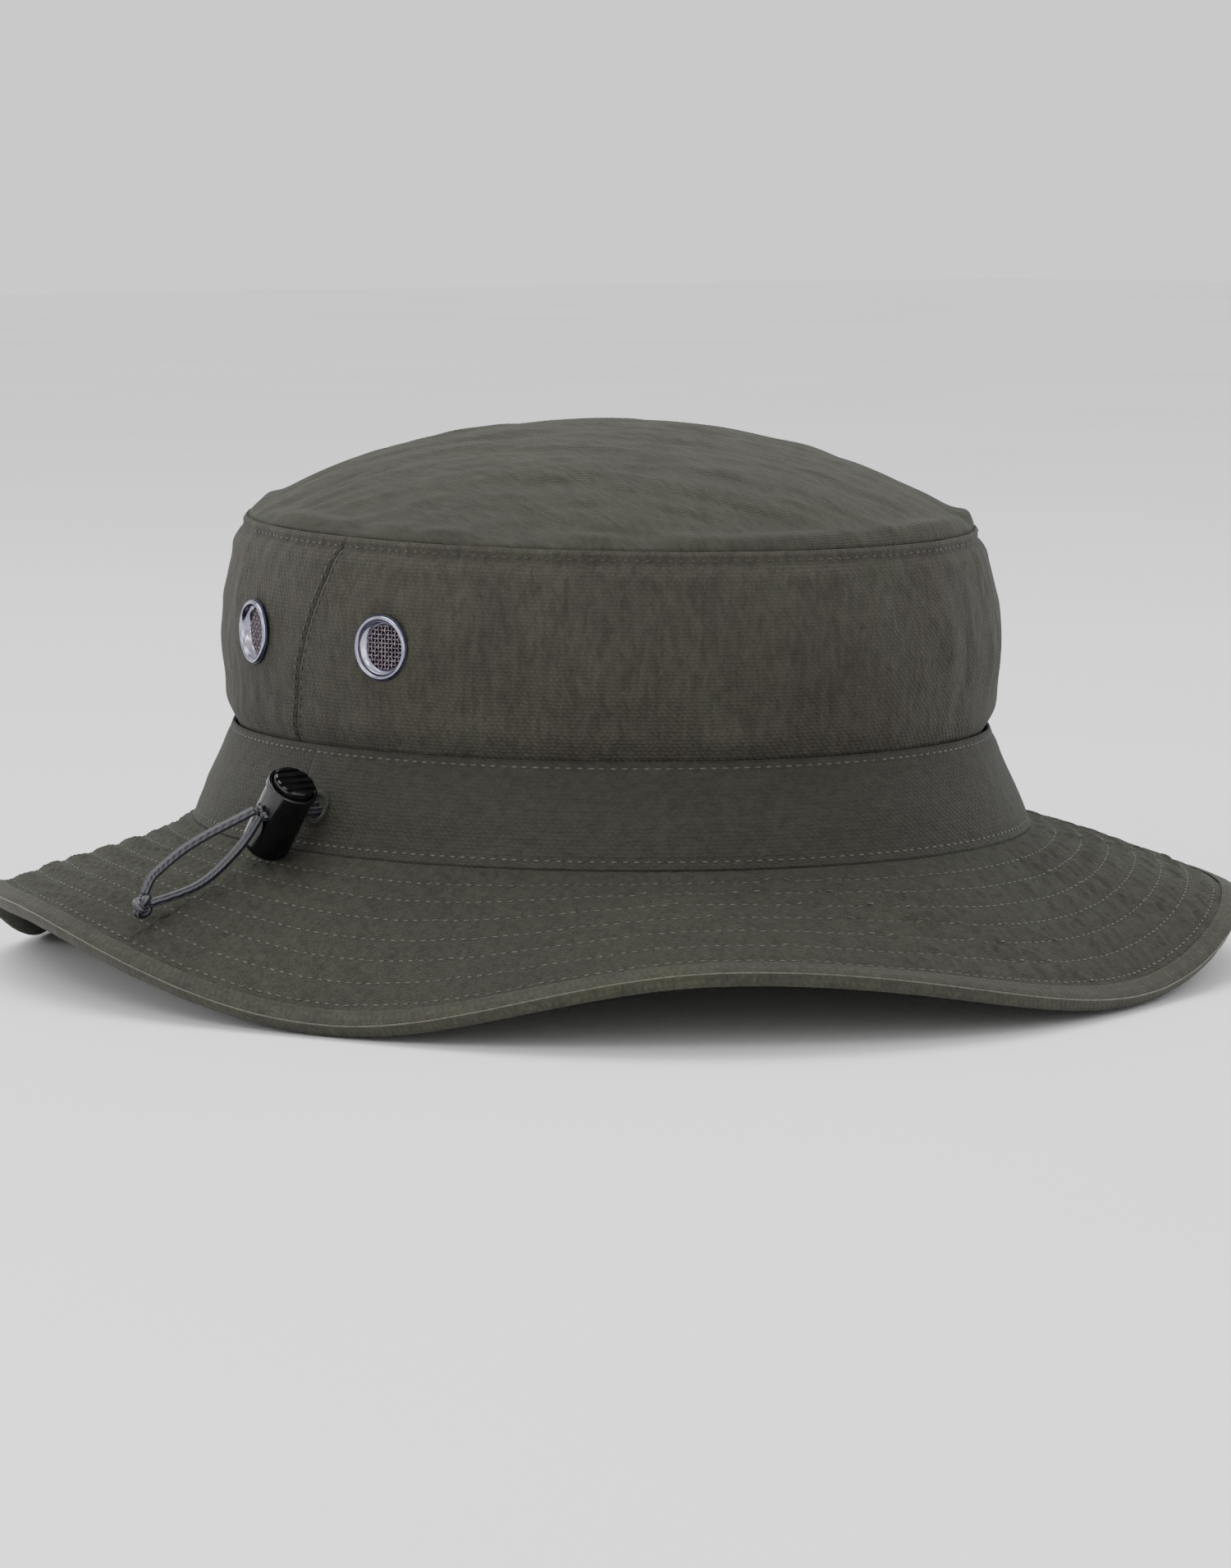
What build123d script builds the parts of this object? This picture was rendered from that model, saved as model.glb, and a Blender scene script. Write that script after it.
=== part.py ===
from build123d import *

import os
from math import asin, atan, cos, degrees, pi, radians, sin, sqrt, tan

# Boonie hat: a soft domed crown, a band with an elastic drawcord, a wavy stitched brim,
# four mesh eyelets, and a push-button cord lock on the drawcord's free loop.
# Millimetres, +Z up. The front is -Y and the wearer's right is -X. The origin is on the
# floor, under the middle of the brim.

os.makedirs("parts", exist_ok=True)

# --- driving dimensions -------------------------------------------------------------
LENGTH_RATIO = 1.09  # front-to-back size over side-to-side size
SEAM_Z = 32.7  # the brim seam's height above the floor
R_SEAM = 94.7  # side half-width at the brim seam
R_WAIST = 85.2  # side half-width at the band's upper edge
R_BULGE = 87.6  # side half-width where the wall is widest
R_TOP = 81.8  # side half-width at the top seam
WAIST_H = 22.8  # heights above the brim seam
EYELET_H = 46.5
BULGE_H = 46.0
TOP_H = 70.0
DOME_H = 23.0
DOME_FLAT = 0.45  # how far out the dome's top stays flat, as a share of its half-width
DOME_SHOULDER = (0.80, 0.52)  # where the dome's shoulder pulls, as shares of its half-width and height

CLOTH = 0.8  # a doubled layer of the shell fabric
DOME_EDGE = 1.3  # the crown top's edge, cut level where it meets the wall
BAND_CLOTH = 0.9
CHANNEL = 3.2  # from the band's outer face to the sweatband's
SWEAT_CLOTH = 1.2
SWEAT_H = 31.0
TUCK = 5.0  # how far the wall panels reach down behind the band
PANEL_FOOT_INSET = 3.1  # from the band's upper edge to the panels' tucked foot
SWEAT_GAP = 0.6  # between the wall panels and the sweatband
GAP = 0.1  # between layers that are sewn together

BRIM_WIDTH = 51.2  # along the slope, from seam to edge
BRIM_CLOTH = 0.6
BRIM_CORE = 1.0
BRIM_ARCH = 1.2  # how far the brim's middle stands above its chord
BRIM_TUCK = 5.0  # the brim's flat root inside the seam
BINDING = 0.45
BINDING_REACH = 4.2

# The brim's wave: azimuth from the front (-Y) towards the wearer's left (+X), and the
# edge's drop below the brim seam there. The wave eases from each one to the next.
BRIM_WAVE = [
    (-142, 29.6),
    (-117, 12.8),
    (-108, 12.8),
    (-66, 29.4),
    (-30, 14.8),
    (15, 29.0),
    (48, 16.5),
    (75, 17.5),
    (92, 14.5),
    (132, 29.5),
    (170, 17.0),
    (218, 29.6),
]
SECTION_STEP = 10

EYELET_SPREAD = 15.5  # each eyelet's azimuth from its side seam
EYELET_R = 7.1
EYELET_BARREL_R = 5.9
EYELET_BORE_R = 5.5

CORD_R = 1.05
CORD_SPACING = 1.12  # each strand's distance from the lock's middle
DRAWCORD_INSET = 2.3  # from the band's outer face to the drawcord's middle

LOCK_R = 5.5
LOCK_BORE_R = 4.9
LOCK_LOW = 11.4  # the barrel's closed end below the cord hole
LOCK_HIGH = 7.6
COLLAR_R = 5.85  # the barrel's thickened mouth
COLLAR_H = 1.5
LOCK_FLOOR = 1.2
BUTTON_R = 4.75
BUTTON_TOP = 9.2
BUTTON_FOOT = 4.2
BUTTON_TRAVEL = 2.3
HOLE_ACROSS = 2.6  # half-width of the lock's cord hole
HOLE_TALL = 1.35
HOLE_ROUNDING = 1.28
SPRING_TURNS = 4
SPRING_R = 3.6
SPRING_WIRE = 0.6
LOCK_TOE = 2.5  # the barrel's rounded closed end
LOCK_RIM = 0.3
BUTTON_EDGE = 0.6
RIDGE_PITCH = 2.0
RIDGE_DEPTH = 0.45

TAPE_WIDTH = 10.0
TAPE_CLOTH = 0.5
TAPE_GAP = 1.0  # between the side tapes and the top tape
SIDE_TAPE_FOOT = 31.8  # the side tapes' lower end, above the sweatband
HOLE_CUT = 12.0  # how deep a hole's cutter goes, past one wall only
EYELET_FLANGE = 1.3
FLANGE_ROUNDING = 0.55
EYELET_DEPTH = 2.4
WASHER_CLEARANCE = 0.7
MESH_THICKNESS = 0.4
BUTTONHOLE_R = 2.8
BUTTONHOLE_RIM = 1.2
BUTTONHOLE_HEIGHT = 0.6
BUTTONHOLE_LIFT = 0.15
BUTTONHOLE_TURN = -0.065  # towards the front, with the band's curve
DRAWCORD_OPEN = 9.0  # degrees left open where the drawcord's ends turn outwards
NECK_BEND = 2.1
LOOP_BEND = 40.0
KNOT_LENGTH = 8.4
KNOT_WIDTH = 5.4

# --- worked-out places --------------------------------------------------------------
LOCK_CENTRE = Vector(-100.8, -7.1, SEAM_Z + 9.6)
LOCK_UP = Vector(0, -0.6, 0.8)  # the button's direction
LOCK_ACROSS = Vector(0, -0.8, -0.6)  # from strand to strand
OUTWARD = Vector(-1, 0, 0)
BRIM_THICKNESS = 2 * BRIM_CLOTH + BRIM_CORE + 2 * GAP
CORD_H = 9.6
CORD_Z = SEAM_Z + CORD_H
LOCK_EXIT_X = LOCK_CENTRE.X - LOCK_R - 2 * GAP
KNOT_CENTRE = (-132.7, 1.0, SEAM_Z - 9.6)
KNOT_DIRECTION = (-0.75, -0.6, -0.3)
KNOT_FACE = (-0.6, 0.75, 0)
KNOT_PLANE = Plane(origin=KNOT_CENTRE, x_dir=KNOT_DIRECTION, z_dir=KNOT_FACE)
FRONT_TURN = Axis((0, 0, 0), (0, 0, -1))
REAR_TURN = Axis((0, 0, 0), (0, 0, 1))


def save(piece, name):
    """Label a finished piece and write it."""
    piece.part.label = name
    export_step(piece.part, f"parts/{name}.step")


def band_radius(height):
    """The band's outer half-width at a height above the brim seam."""
    return R_SEAM + (R_WAIST - R_SEAM) * height / WAIST_H


DRAWCORD_R = band_radius(CORD_H) - DRAWCORD_INSET
BAND_TILT = atan((R_SEAM - R_WAIST) / WAIST_H)
CORD_EXIT = Plane(origin=(-band_radius(CORD_H), LOCK_CENTRE.Y, CORD_Z), z_dir=(-1, 0, 0))
BUTTONHOLE_FACE = Plane(origin=CORD_EXIT.origin, z_dir=(-cos(BAND_TILT), BUTTONHOLE_TURN, sin(BAND_TILT)))


def seam_radius(azimuth):
    """The brim seam's distance from the axis, on an ellipse."""
    a = radians(azimuth)
    return 1 / sqrt((sin(a) / R_SEAM) ** 2 + (cos(a) / (R_SEAM * LENGTH_RATIO)) ** 2)


def edge_drop(azimuth):
    """How far the brim's edge lies below the seam at an azimuth."""
    start = BRIM_WAVE[0][0]
    turned = (azimuth - start) % 360 + start
    for (az0, drop0), (az1, drop1) in zip(BRIM_WAVE, BRIM_WAVE[1:]):
        if az0 <= turned <= az1:
            ease = (1 - cos(pi * (turned - az0) / (az1 - az0))) / 2
            return drop0 + (drop1 - drop0) * ease
    return BRIM_WAVE[0][1]


def radial_plane(azimuth):
    """A vertical plane through the axis, with its X pointing outwards."""
    a = radians(azimuth)
    outwards = Vector(sin(a), -cos(a), 0)
    return Plane(origin=(0, 0, 0), x_dir=outwards, z_dir=outwards.cross(Vector(0, 0, 1)))


def brim_point(azimuth, along, depth):
    """A point of the brim's section: along it from seam (0) to edge (1), depth below its top."""
    drop = edge_drop(azimuth)
    reach = sqrt(BRIM_WIDTH**2 - drop**2)
    slope = atan((-drop + 4 * BRIM_ARCH * (1 - 2 * along)) / reach)
    r = seam_radius(azimuth) + reach * along - depth * -sin(slope)
    z = SEAM_Z - GAP - drop * along + 4 * BRIM_ARCH * along * (1 - along) - depth * cos(slope)
    return (r, z)


def brim_outline(azimuth, top, bottom):
    """One brim layer's section at an azimuth, from its upper depth to its lower depth."""
    root = seam_radius(azimuth) - BRIM_TUCK
    steps = [0, 1 / 3, 2 / 3, 1]
    upper = [brim_point(azimuth, u, top) for u in steps]
    lower = [brim_point(azimuth, u, bottom) for u in reversed(steps)]
    return [(root, SEAM_Z - GAP - top)] + upper + lower + [(root, SEAM_Z - GAP - bottom)]


def binding_outline(azimuth):
    """The binding tape's folded section around the brim's edge."""
    edge = brim_point(azimuth, 1, 0)
    drop = edge_drop(azimuth)
    slope = atan((-drop - 4 * BRIM_ARCH) / sqrt(BRIM_WIDTH**2 - drop**2))
    along = (cos(slope), sin(slope))
    normal = (-sin(slope), cos(slope))

    def at(out, up):
        return (
            edge[0] + along[0] * out + normal[0] * up,
            edge[1] + along[1] * out + normal[1] * up,
        )

    inner = 2 * GAP
    outer = inner + BINDING
    return [
        at(-BINDING_REACH, outer),
        at(outer, outer),
        at(outer, -BRIM_THICKNESS - outer),
        at(-BINDING_REACH, -BRIM_THICKNESS - outer),
        at(-BINDING_REACH, -BRIM_THICKNESS - inner),
        at(inner, -BRIM_THICKNESS - inner),
        at(inner, inner),
        at(-BINDING_REACH, inner),
    ]


def dome_points(radius, height):
    """The dome's profile from its apex to its edge, as a curve's control points."""
    base = SEAM_Z + TOP_H
    shoulder, rise = DOME_SHOULDER
    return [
        (0, base + height),
        (radius * DOME_FLAT, base + height),
        (radius * shoulder, base + height * rise),
        (radius, base),
    ]


def half_azimuths(start):
    """The azimuths of a half brim's sections, from one side seam to the other."""
    return [start + step for step in range(0, 181, SECTION_STEP)]


# --- crown --------------------------------------------------------------------------
with BuildPart() as crown_top:
    with BuildSketch(Plane.XZ) as dome_profile:
        with BuildLine() as dome_lines:
            outside = Bezier(*dome_points(R_TOP, DOME_H))
            inside = Bezier(*dome_points(R_TOP - DOME_EDGE, DOME_H - CLOTH))
            Line(outside @ 0, inside @ 0)
            Line(outside @ 1, inside @ 1)
        make_face()
    revolve(axis=Axis.Z)
    scale(by=(1, LENGTH_RATIO, 1))
save(crown_top, "crown_top")

PANEL_FOOT_H = WAIST_H - TUCK
PANEL_FOOT_R = R_WAIST - PANEL_FOOT_INSET


def wall_radius(height):
    """The wall panels' outer half-width at a height above the brim seam, on one arc."""
    (r0, h0), (r1, h1), (r2, h2) = (PANEL_FOOT_R, PANEL_FOOT_H), (R_BULGE, BULGE_H), (R_TOP, TOP_H)
    a, b = r1 - r0, h1 - h0
    c, d = r2 - r0, h2 - h0
    e = (a * (r0 + r1) + b * (h0 + h1)) / 2
    f = (c * (r0 + r2) + d * (h0 + h2)) / 2
    centre_r = (d * e - b * f) / (a * d - b * c)
    centre_h = (a * f - c * e) / (a * d - b * c)
    radius = sqrt((r0 - centre_r) ** 2 + (h0 - centre_h) ** 2)
    return centre_r + sqrt(radius**2 - (height - centre_h) ** 2)


def wall_profile(low, high, inset, cloth):
    """A strip up the wall between two heights, inset from the wall's outer face."""
    heights = [low, (low + high) / 2, high]
    outside = ThreePointArc(*[(wall_radius(h) - inset, SEAM_Z + h) for h in heights])
    inside = ThreePointArc(*[(wall_radius(h) - inset - cloth, SEAM_Z + h) for h in heights])
    Line(outside @ 0, inside @ 0)
    Line(outside @ 1, inside @ 1)


def eyelet_plane(azimuth):
    """A plane on the wall's outer face at an eyelet, with its Z pointing outwards."""
    a = radians(azimuth)
    side = wall_radius(EYELET_H)
    length = side * LENGTH_RATIO
    r = 1 / sqrt((sin(a) / side) ** 2 + (cos(a) / length) ** 2)
    x, y = r * sin(a), -r * cos(a)
    normal = Vector(x / side**2, y / length**2, 0).normalized()
    across = Vector(0, 0, 1).cross(normal)
    return Plane(origin=(x, y, SEAM_Z + EYELET_H), x_dir=across, z_dir=normal)


EYELETS = {
    "right_rear": eyelet_plane(-90 - EYELET_SPREAD),
    "right_front": eyelet_plane(-90 + EYELET_SPREAD),
    "left_front": eyelet_plane(90 - EYELET_SPREAD),
    "left_rear": eyelet_plane(90 + EYELET_SPREAD),
}

for half, turn in (("front", FRONT_TURN), ("rear", REAR_TURN)):
    with BuildPart() as side_panel:
        with BuildSketch(Plane.XZ) as panel_profile:
            with BuildLine() as panel_lines:
                wall_profile(PANEL_FOOT_H, TOP_H, 0, CLOTH)
            make_face()
        revolve(axis=turn, revolution_arc=180)
        scale(by=(1, LENGTH_RATIO, 1))
        for place in ("right_" + half, "left_" + half):
            with BuildSketch(EYELETS[place].offset(-HOLE_CUT / 2)) as eyelet_hole:
                Circle(EYELET_BARREL_R + GAP)
            extrude(amount=HOLE_CUT, mode=Mode.SUBTRACT)
    save(side_panel, "side_panel_" + half)

# Tapes inside, over the top seam and the two side seams
with BuildPart() as crown_seam_tape:
    with BuildSketch(Plane.XZ) as crown_tape_profile:
        with BuildLine() as crown_tape_lines:
            wall_profile(TOP_H - TAPE_WIDTH, TOP_H - GAP, CLOTH + GAP, TAPE_CLOTH)
        make_face()
    revolve(axis=Axis.Z)
    scale(by=(1, LENGTH_RATIO, 1))
save(crown_seam_tape, "crown_seam_tape")

tape_arc = degrees(TAPE_WIDTH / R_BULGE)
for side, azimuth in (("left", 90), ("right", -90)):
    with BuildPart() as side_seam_tape:
        with BuildSketch(radial_plane(azimuth - tape_arc / 2)) as side_tape_profile:
            with BuildLine() as side_tape_lines:
                wall_profile(SIDE_TAPE_FOOT, TOP_H - TAPE_WIDTH - TAPE_GAP, CLOTH + GAP, TAPE_CLOTH)
            make_face()
        revolve(axis=Axis.Z, revolution_arc=tape_arc)
        scale(by=(1, LENGTH_RATIO, 1))
    save(side_seam_tape, "side_seam_tape_" + side)

# --- band and sweatband ---------------------------------------------------------------
for half, turn in (("front", FRONT_TURN), ("rear", REAR_TURN)):
    with BuildPart() as band:
        with BuildSketch(Plane.XZ) as band_profile:
            with BuildLine() as band_lines:
                Polyline(
                    (R_SEAM, SEAM_Z),
                    (R_WAIST, SEAM_Z + WAIST_H),
                    (R_WAIST - BAND_CLOTH, SEAM_Z + WAIST_H),
                    (R_SEAM - BAND_CLOTH, SEAM_Z),
                    close=True,
                )
            make_face()
        revolve(axis=turn, revolution_arc=180)
        scale(by=(1, LENGTH_RATIO, 1))
        if half == "front":
            with BuildSketch(CORD_EXIT) as cord_hole:
                Circle(BUTTONHOLE_R)
            extrude(amount=HOLE_CUT, both=True, mode=Mode.SUBTRACT)
    save(band, "band_" + half)

with BuildPart() as sweatband:
    with BuildSketch(Plane.XZ) as sweat_profile:
        with BuildLine() as sweat_lines:
            foot_r = R_SEAM - CHANNEL
            knee_r = wall_radius(PANEL_FOOT_H) - CLOTH - SWEAT_GAP
            knee_z = SEAM_Z + PANEL_FOOT_H
            head_z = SEAM_Z + SWEAT_H
            Polyline(
                (foot_r, SEAM_Z + GAP),
                (knee_r, knee_z),
                (knee_r, head_z),
                (knee_r - SWEAT_CLOTH, head_z),
                (knee_r - SWEAT_CLOTH, knee_z),
                (foot_r - SWEAT_CLOTH, SEAM_Z + GAP),
                close=True,
            )
        make_face()
    revolve(axis=Axis.Z)
    scale(by=(1, LENGTH_RATIO, 1))
save(sweatband, "sweatband")

# --- brim: shell, stiff core and lining, each in two halves joined at the side seams -----
LAYERS = (
    ("brim_top", 0, BRIM_CLOTH),
    ("brim_interlining", BRIM_CLOTH + GAP, BRIM_CLOTH + GAP + BRIM_CORE),
    ("brim_under", BRIM_CLOTH + 2 * GAP + BRIM_CORE, BRIM_THICKNESS),
)
for half, start in (("front", -90), ("rear", 90)):
    for layer, top, bottom in LAYERS:
        with BuildPart() as brim_layer:
            for azimuth in half_azimuths(start):
                with BuildSketch(radial_plane(azimuth)) as layer_section:
                    with BuildLine() as layer_lines:
                        Polyline(*brim_outline(azimuth, top, bottom), close=True)
                    make_face()
            loft()
        save(brim_layer, f"{layer}_{half}")

with BuildPart() as brim_binding:
    for start in (-90, 90):
        for azimuth in half_azimuths(start):
            with BuildSketch(radial_plane(azimuth)) as binding_section:
                with BuildLine() as binding_lines:
                    Polyline(*binding_outline(azimuth), close=True)
                make_face()
        loft()
save(brim_binding, "brim_binding")

# --- eyelets: a rolled ring outside, a washer inside, a wire mesh disc between -----------
for place, plane in EYELETS.items():
    with BuildPart() as eyelet_ring:
        with BuildSketch(plane.offset(GAP)) as flange:
            Circle(EYELET_R)
            Circle(EYELET_BORE_R, mode=Mode.SUBTRACT)
        extrude(amount=EYELET_FLANGE)
        face = eyelet_ring.edges().filter_by(GeomType.CIRCLE).sort_by(Axis(plane.origin, plane.z_dir))[-2:]
        fillet(face, FLANGE_ROUNDING)
        with BuildSketch(plane.offset(-EYELET_DEPTH)) as barrel:
            Circle(EYELET_BARREL_R)
            Circle(EYELET_BORE_R, mode=Mode.SUBTRACT)
        extrude(amount=EYELET_DEPTH + GAP)
    save(eyelet_ring, "eyelet_ring_" + place)

    with BuildPart() as eyelet_washer:
        with BuildSketch(plane.offset(-EYELET_DEPTH)) as washer:
            Circle(EYELET_R)
            Circle(EYELET_BARREL_R + GAP / 2, mode=Mode.SUBTRACT)
        extrude(amount=EYELET_DEPTH - CLOTH - WASHER_CLEARANCE)
    save(eyelet_washer, "eyelet_washer_" + place)

    with BuildPart() as eyelet_mesh:
        with BuildSketch(plane.offset(-EYELET_DEPTH / 2)) as mesh_disc:
            Circle(EYELET_BORE_R)
        extrude(amount=MESH_THICKNESS)
    save(eyelet_mesh, "eyelet_mesh_" + place)

# --- drawcord and buttonhole --------------------------------------------------------------
# The drawcord's ring stays open at the buttonhole, where both its ends turn outwards
exit_azimuth = -90 + degrees(asin(-CORD_EXIT.origin.Y / LENGTH_RATIO / DRAWCORD_R))
with BuildPart() as drawcord:
    with BuildSketch(radial_plane(exit_azimuth + DRAWCORD_OPEN / 2)) as drawcord_section:
        with Locations((DRAWCORD_R, CORD_Z)):
            Circle(CORD_R)
    revolve(axis=Axis.Z, revolution_arc=360 - DRAWCORD_OPEN)
    scale(by=(1, LENGTH_RATIO, 1))
save(drawcord, "drawcord")

with BuildPart() as cord_buttonhole:
    with BuildSketch(BUTTONHOLE_FACE.offset(BUTTONHOLE_LIFT)) as stitched_ring:
        Circle(BUTTONHOLE_R + BUTTONHOLE_RIM)
        Circle(BUTTONHOLE_R, mode=Mode.SUBTRACT)
    extrude(amount=BUTTONHOLE_HEIGHT)
save(cord_buttonhole, "cord_buttonhole")


# --- cord: straight runs joined by tangent arcs -------------------------------------------
def bend_radii(points, tightest):
    """The largest bend at each point that its two runs allow, no larger than the tightest one."""
    radii = []
    for before, corner, after in zip(points, points[1:], points[2:]):
        run_in = corner - before
        run_out = after - corner
        half_turn = radians(run_in.get_angle(run_out)) / 2
        largest = 0.45 * min(run_in.length, run_out.length) / tan(half_turn)
        radii.append(min(largest, tightest))
    return radii


def make_cord(name, points, tightest):
    """A cord's tube along its route, with its bends and volume printed for checking."""
    radii = bend_radii(points, tightest)
    with BuildPart() as cord:
        with BuildLine() as route:
            FilletPolyline(*points, radius=radii)
        line = route.wire()
        with BuildSketch(Plane(origin=line @ 0, z_dir=line % 0)) as section:
            Circle(CORD_R)
        sweep()
    expected = pi * CORD_R**2 * line.length
    bends = " ".join(f"{radius:.1f}" for radius in radii)
    print(f"{name}: length {line.length:.1f}, bends {bends}, volume {cord.part.volume / expected:.3f}")
    save(cord, name)


UPPER = LOCK_CENTRE - LOCK_ACROSS * CORD_SPACING
LOWER = LOCK_CENTRE + LOCK_ACROSS * CORD_SPACING


def drawcord_point(azimuth):
    """The drawcord's middle at an azimuth."""
    a = radians(azimuth)
    return Vector(DRAWCORD_R * sin(a), -DRAWCORD_R * LENGTH_RATIO * cos(a), CORD_Z)


NECK_X = -DRAWCORD_R + 4 * GAP
LOOP_X = LOCK_EXIT_X - 9 * GAP
NECK_UPPER = [
    drawcord_point(exit_azimuth - DRAWCORD_OPEN / 2 + GAP),
    Vector(NECK_X, UPPER.Y, UPPER.Z),
    Vector(LOCK_EXIT_X, UPPER.Y, UPPER.Z),
]
NECK_LOWER = [
    drawcord_point(exit_azimuth + DRAWCORD_OPEN / 2 - GAP),
    Vector(NECK_X, LOWER.Y, LOWER.Z),
    Vector(LOCK_EXIT_X, LOWER.Y, LOWER.Z),
]
LOOP_UPPER = [
    Vector(LOOP_X, UPPER.Y, UPPER.Z),
    Vector(-111.1, -4.6, SEAM_Z + 8.3),
    Vector(-116.9, -2.2, SEAM_Z + 5.4),
    Vector(-122.7, -0.2, SEAM_Z + 2.1),
    Vector(-127.5, 1.0, SEAM_Z - 1.6),
    Vector(-130.6, 1.5, SEAM_Z - 4.0),
    Vector(-132.0, 1.4, SEAM_Z - 6.0),
]
LOOP_LOWER = [
    Vector(LOOP_X, LOWER.Y, LOWER.Z),
    Vector(-109.3, -6.4, SEAM_Z + 4.4),
    Vector(-113.3, -4.7, SEAM_Z - 0.4),
    Vector(-117.9, -3.3, SEAM_Z - 4.6),
    Vector(-123.3, -2.2, SEAM_Z - 7.2),
    Vector(-128.5, -0.8, SEAM_Z - 8.5),
]
make_cord("cord_neck_upper", NECK_UPPER, NECK_BEND)
make_cord("cord_neck_lower", NECK_LOWER, NECK_BEND)
make_cord("cord_loop_upper", LOOP_UPPER, LOOP_BEND)
make_cord("cord_loop_lower", LOOP_LOWER, LOOP_BEND)

with BuildPart() as cord_knot:
    with BuildSketch(KNOT_PLANE) as knot_profile:
        with BuildLine() as knot_lines:
            EllipticalCenterArc((0, 0), KNOT_LENGTH / 2, KNOT_WIDTH / 2, start_angle=0, arc_size=180)
            Line((-KNOT_LENGTH / 2, 0), (KNOT_LENGTH / 2, 0))
        make_face()
    revolve(axis=Axis(KNOT_PLANE.origin, KNOT_PLANE.x_dir))
save(cord_knot, "cord_knot")

# --- cord lock: barrel, spring and push button ---------------------------------------------
LOCK_SECTION = Plane(origin=LOCK_CENTRE, x_dir=OUTWARD, z_dir=OUTWARD.cross(LOCK_UP))
LOCK_HOLE = Plane(origin=LOCK_CENTRE, x_dir=LOCK_ACROSS, z_dir=OUTWARD)
LOCK_AXIS = Axis(LOCK_CENTRE, LOCK_UP)
floor_at = -LOCK_LOW + LOCK_FLOOR

with BuildPart() as lock_barrel:
    with BuildSketch(LOCK_SECTION) as barrel_section:
        with BuildLine() as barrel_lines:
            Polyline(
                (0, -LOCK_LOW),
                (LOCK_R, -LOCK_LOW),
                (LOCK_R, LOCK_HIGH - COLLAR_H),
                (COLLAR_R, LOCK_HIGH - COLLAR_H),
                (COLLAR_R, LOCK_HIGH),
                (LOCK_BORE_R, LOCK_HIGH),
                (LOCK_BORE_R, floor_at),
                (0, floor_at),
                close=True,
            )
        make_face()
    revolve(axis=LOCK_AXIS)
    rings = lock_barrel.edges().filter_by(GeomType.CIRCLE).sort_by(LOCK_AXIS)
    fillet(rings[0], LOCK_TOE)
    rings = lock_barrel.edges().filter_by(GeomType.CIRCLE).sort_by(LOCK_AXIS)
    fillet(rings[-2:], LOCK_RIM)
    with BuildSketch(LOCK_HOLE) as barrel_hole:
        RectangleRounded(2 * HOLE_ACROSS, 2 * HOLE_TALL, HOLE_ROUNDING)
    extrude(amount=2 * LOCK_R, both=True, mode=Mode.SUBTRACT)
save(lock_barrel, "lock_barrel")

with BuildPart() as lock_button:
    with BuildSketch(LOCK_SECTION) as button_section:
        with BuildLine() as button_lines:
            Polyline(
                (0, -BUTTON_FOOT),
                (BUTTON_R, -BUTTON_FOOT),
                (BUTTON_R, BUTTON_TOP),
                (0, BUTTON_TOP),
                close=True,
            )
        make_face()
    revolve(axis=LOCK_AXIS)
    rings = lock_button.edges().filter_by(GeomType.CIRCLE).sort_by(LOCK_AXIS)
    fillet(rings[-1], BUTTON_EDGE)
    slot_low = -HOLE_TALL + 2 * GAP
    slot_high = CORD_R + BUTTON_TRAVEL + GAP
    with BuildSketch(LOCK_HOLE) as button_slot:
        with Locations((0, (slot_low + slot_high) / 2)):
            Rectangle(2 * HOLE_ACROSS, slot_high - slot_low)
    extrude(amount=2 * LOCK_R, both=True, mode=Mode.SUBTRACT)
    with BuildSketch(Plane(origin=LOCK_CENTRE + LOCK_UP * BUTTON_TOP, x_dir=OUTWARD, z_dir=LOCK_UP)):
        with GridLocations(0, RIDGE_PITCH, 1, 4):
            Rectangle(2 * BUTTON_R, RIDGE_PITCH / 2)
    extrude(amount=-RIDGE_DEPTH, mode=Mode.SUBTRACT)
save(lock_button, "lock_button")

spring_height = -BUTTON_FOOT - floor_at - SPRING_WIRE - 4 * GAP
spring_foot = LOCK_CENTRE + LOCK_UP * (floor_at + SPRING_WIRE / 2 + 2 * GAP)
with BuildPart() as lock_spring:
    with BuildLine() as spring_line:
        Helix(spring_height / SPRING_TURNS, spring_height, SPRING_R, spring_foot, LOCK_UP)
    coil = spring_line.wire()
    with BuildSketch(Plane(origin=coil @ 0, z_dir=coil % 0)) as spring_section:
        Circle(SPRING_WIRE / 2)
    sweep(is_frenet=True)
save(lock_spring, "lock_spring")
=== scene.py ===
from math import cos, pi, radians, sin, sqrt

import bmesh
import bpy
import numpy as np
from mathutils import Matrix, Vector


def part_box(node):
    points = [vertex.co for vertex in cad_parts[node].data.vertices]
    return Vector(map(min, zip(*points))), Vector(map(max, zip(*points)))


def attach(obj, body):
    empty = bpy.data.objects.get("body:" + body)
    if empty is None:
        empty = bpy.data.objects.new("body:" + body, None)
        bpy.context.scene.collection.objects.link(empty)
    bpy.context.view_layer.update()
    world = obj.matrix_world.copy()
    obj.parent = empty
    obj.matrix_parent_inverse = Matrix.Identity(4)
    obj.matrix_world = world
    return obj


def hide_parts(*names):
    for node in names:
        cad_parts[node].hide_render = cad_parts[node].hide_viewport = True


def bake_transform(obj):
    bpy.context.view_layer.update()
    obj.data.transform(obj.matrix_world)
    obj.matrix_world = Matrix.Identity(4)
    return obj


# Boonie hat: crinkled nylon crown and brim, mesh eyelets, and a cord lock on an elastic loop.
# Sizes below are millimetres in the CAD frame; meshes are written in metres.

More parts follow.
